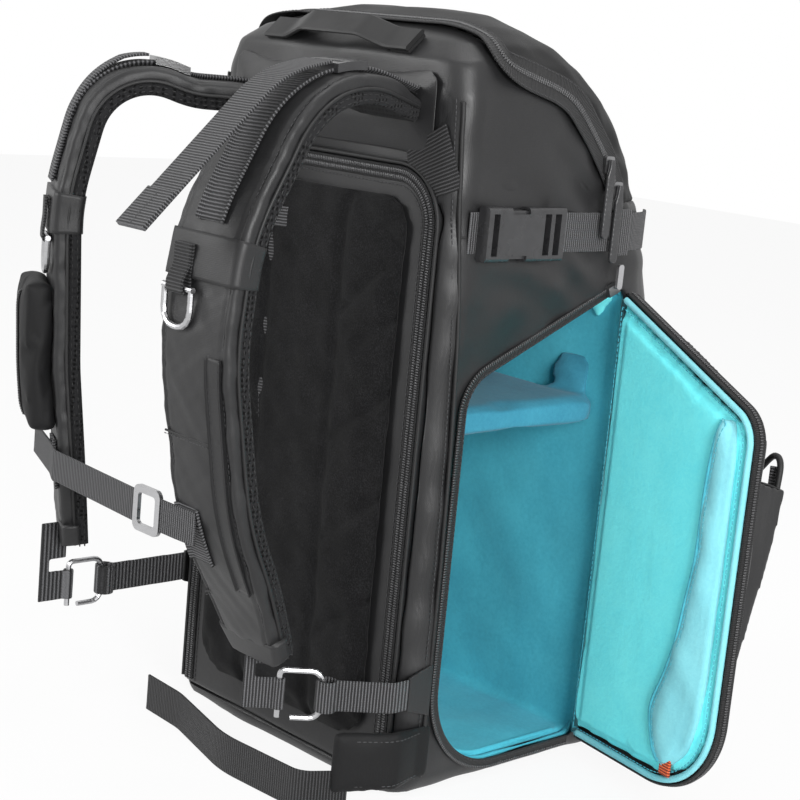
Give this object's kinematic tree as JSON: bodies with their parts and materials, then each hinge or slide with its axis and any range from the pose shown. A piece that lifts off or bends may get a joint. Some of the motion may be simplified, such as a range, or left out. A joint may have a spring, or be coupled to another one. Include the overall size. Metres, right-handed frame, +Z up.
{
  "type": "camera backpack",
  "caption": "Padded camera backpack with a side access door, clamshell lid, zipped back panel, arched shoulder straps, sternum and waist webbing and a divided lining.",
  "frame": {"origin": "middle of the base, on the ground plane", "axes": "+Z up; the harness (shoulder straps) faces -Y, the front faces +Y, the side access door is on +X"},
  "size_m": [0.4173, 0.4146, 0.482],
  "materials": {
    "shell_fabric": "matte coated black woven polyester",
    "lid_fabric": "matte coated black woven polyester",
    "base_fabric": "reinforced black woven polyester",
    "lining": "bright cyan brushed hook-and-loop lining",
    "back_fabric": "heathered dark grey quilted padding",
    "mesh": "black perforated spacer mesh",
    "webbing": "grey ribbed webbing",
    "strap_fabric": "smooth matte black fabric",
    "tape": "black coil zip on woven tape",
    "knit": "dark grey stretch knit",
    "buckle_plastic": "black moulded acetal, satin",
    "handle_rubber": "dark grey soft gloss coating",
    "alloy": "satin anodised aluminium",
    "slider_metal": "dark satin metal",
    "pull_cord": "black rubber-coated cord",
    "orange_pull": "orange-red webbing pull"
  },
  "bodies": {
    "pack": {"base_panel": "base_fabric", "side_panel_left": "shell_fabric", "side_panel_right": "shell_fabric", "front_panel": "shell_fabric", "yoke_panel": "shell_fabric", "lid_zip_tape_body": "tape", "side_lining_left": "lining", "side_lining_right": "lining", "compartment_lining": "lining", "flap_divider": "lining", "opening_zip_tape": "tape", "yoke_pad": "back_fabric", "side_strap_webbing": "webbing", "side_buckle_female": "buckle_plastic", "handle_anchors": "shell_fabric", "shoulder_pad_left": "strap_fabric", "shoulder_pad_right": "strap_fabric", "strap_mesh_left": "mesh", "strap_mesh_right": "mesh", "strap_bands": "knit", "d_ring_tabs": "webbing", "load_lifters": "webbing", "lifter_buckles": "buckle_plastic", "phone_pocket": "strap_fabric", "sternum_rails": "webbing", "sternum_strap_left": "webbing", "sternum_strap_right": "webbing", "corner_tabs": "shell_fabric", "lower_straps": "webbing", "strap_end_webbing": "webbing", "hip_fins": "strap_fabric", "waist_belt": "webbing", "lid_zip_sliders": "slider_metal"},
    "side_door": {"door_skin": "shell_fabric", "door_lining": "lining", "door_zip_tape": "tape", "door_inner_pocket": "knit", "bottle_pocket": "knit", "pocket_cord_lock": "buckle_plastic"},
    "door_pocket_pull": {"door_pocket_pull": "orange_pull"},
    "back_panel": {"back_panel": "back_fabric", "back_pad": "back_fabric", "back_zip_tape": "tape", "harness_adjuster_strap": "webbing"},
    "lid": {"lid_shell": "lid_fabric", "lid_zip_tape_lid": "tape"},
    "haul_handle": {"haul_handle": "handle_rubber"},
    "side_buckle_male": {"side_buckle_male": "buckle_plastic"},
    "shelf": {"shelf_divider": "lining"},
    "d_ring_left": {"d_ring_left": "alloy"},
    "d_ring_right": {"d_ring_right": "alloy"},
    "strap_hook_left": {"strap_hook_left": "alloy"},
    "strap_hook_right": {"strap_hook_right": "alloy"},
    "lid_zip_pull_1": {"lid_zip_pull_1": "pull_cord"},
    "lid_zip_pull_2": {"lid_zip_pull_2": "pull_cord"},
    "door_zip_slider": {"door_zip_slider": "slider_metal"},
    "door_zip_pull": {"door_zip_pull": "alloy"},
    "phone_pocket_pull": {"phone_pocket_pull": "pull_cord"},
    "sternum_hook": {"sternum_hook": "alloy"}
  },
  "joints": [
    {"name": "side_door_hinge", "type": "hinge", "parent": "pack", "child": "side_door", "pos_m": [0.115, 0.058, 0.167], "axis": [0, 0, 1], "range_deg": [-80, 50]},
    {"name": "door_pocket_pull_swing", "type": "hinge", "parent": "side_door", "child": "door_pocket_pull", "pos_m": [0.2131, 0.02984, 0.062], "axis": [-0.9848, 0.1736, 0], "range_deg": [0, 60]},
    {"name": "back_panel_hinge", "type": "hinge", "parent": "pack", "child": "back_panel", "pos_m": [0, -0.111, 0.0083], "axis": [1, 0, 0], "range_deg": [0, 14]},
    {"name": "lid_hinge", "type": "hinge", "parent": "pack", "child": "lid", "pos_m": [0, 0.0878, 0.373], "axis": [-1, 0, 0], "range_deg": [0, 100]},
    {"name": "handle_lift", "type": "hinge", "parent": "pack", "child": "haul_handle", "pos_m": [0, -0.1117, 0.45626], "axis": [1, 0, 0], "range_deg": [0, 70]},
    {"name": "side_buckle_slide", "type": "slide", "parent": "pack", "child": "side_buckle_male", "axis": [0, 1, 0], "range_m": [0, 0.03]},
    {"name": "shelf_slide", "type": "slide", "parent": "pack", "child": "shelf", "axis": [0, 0, 1], "range_m": [-0.05, 0.02]},
    {"name": "d_ring_left_swing", "type": "hinge", "parent": "pack", "child": "d_ring_left", "pos_m": [0.057, -0.25988, 0.318], "axis": [-1, 0, 0], "range_deg": [0, 70]},
    {"name": "d_ring_right_swing", "type": "hinge", "parent": "pack", "child": "d_ring_right", "pos_m": [-0.12, -0.23247, 0.321], "axis": [-0.8829, 0.4695, 0], "range_deg": [0, 70]},
    {"name": "strap_hook_left_swing", "type": "hinge", "parent": "pack", "child": "strap_hook_left", "pos_m": [0.074, -0.177, 0.071], "axis": [0, 0, 1], "range_deg": [-2.5, 2.5]},
    {"name": "strap_hook_right_swing", "type": "hinge", "parent": "pack", "child": "strap_hook_right", "pos_m": [-0.118, -0.203, 0.088], "axis": [0, 0, 1], "range_deg": [-2.5, 2.5]},
    {"name": "lid_zip_pull_1_swing", "type": "hinge", "parent": "pack", "child": "lid_zip_pull_1", "pos_m": [0.1203, 0.03026, 0.3856], "axis": [0, -1, 0], "range_deg": [0, 90]},
    {"name": "lid_zip_pull_2_swing", "type": "hinge", "parent": "pack", "child": "lid_zip_pull_2", "pos_m": [0.1203, 0.01972, 0.40141], "axis": [0, -1, 0], "range_deg": [0, 90]},
    {"name": "door_zip_slide", "type": "slide", "parent": "pack", "child": "door_zip_slider", "axis": [0, -0.9202, -0.3916], "range_m": [0, 0.1]},
    {"name": "door_zip_pull_swing", "type": "hinge", "parent": "door_zip_slider", "child": "door_zip_pull", "pos_m": [0.1203, 0.04, 0.31884], "axis": [0, 1, 0], "range_deg": [0, 85]},
    {"name": "phone_pocket_pull_swing", "type": "hinge", "parent": "pack", "child": "phone_pocket_pull", "pos_m": [-0.13149, -0.24131, 0.285], "axis": [-0.8829, 0.4695, 0], "range_deg": [0, 60]},
    {"name": "sternum_hook_turn", "type": "hinge", "parent": "pack", "child": "sternum_hook", "pos_m": [0.004, -0.24101, 0.178], "axis": [0, 0, 1], "range_deg": [-4, 4]}
  ]
}
